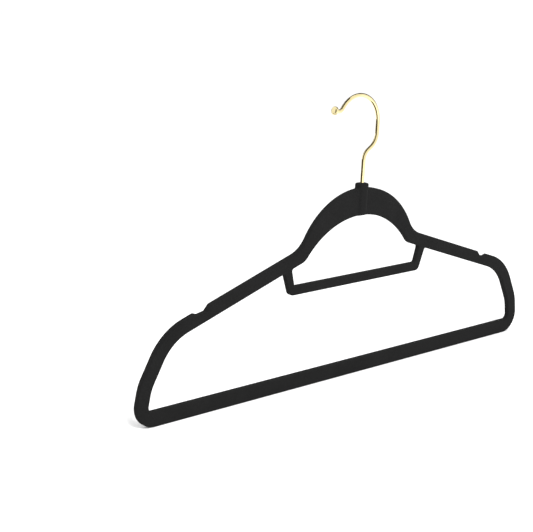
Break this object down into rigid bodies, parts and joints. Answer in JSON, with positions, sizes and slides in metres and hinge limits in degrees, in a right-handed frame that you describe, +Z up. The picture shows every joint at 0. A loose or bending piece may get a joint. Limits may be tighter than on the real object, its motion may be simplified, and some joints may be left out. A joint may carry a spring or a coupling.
{
  "type": "clothes hanger",
  "caption": "Slim flocked clothes hanger with sloping shoulders, trouser bar, tie bar, strap notches and a wire hook that turns freely in the neck.",
  "frame": {"origin": "the highest point of the inside of the hook's bow, where the hanger rests on a rail", "axes": "+X along the hanger's width, away from the hook's open side; +Y from the front face to the back face, along the rail; +Z up. The swivel axis is parallel to Z at x = 9.2 mm, y = 0."},
  "size_m": [0.445, 0.0072, 0.236],
  "materials": {
    "core_plastic": "moulded black plastic, hidden under the flock",
    "flock": "short-pile nylon flock, matt charcoal black",
    "bush_brass": "turned brass",
    "gold_plate": "light gold plating, polished, on steel wire",
    "washer_steel": "stamped steel"
  },
  "bodies": {
    "hook": {"hook_wire": "gold_plate", "retaining_washer": "washer_steel", "hook_tip_cap": "gold_plate"},
    "frame": {"frame_core": "core_plastic", "flock_coat": "flock", "swivel_bush": "bush_brass"}
  },
  "joints": [
    {"name": "hook_swivel", "type": "hinge", "parent": "hook", "child": "frame", "pos_m": [0.0092, 0, -0.0772], "axis": [0, 0, 1], "continuous": true}
  ]
}
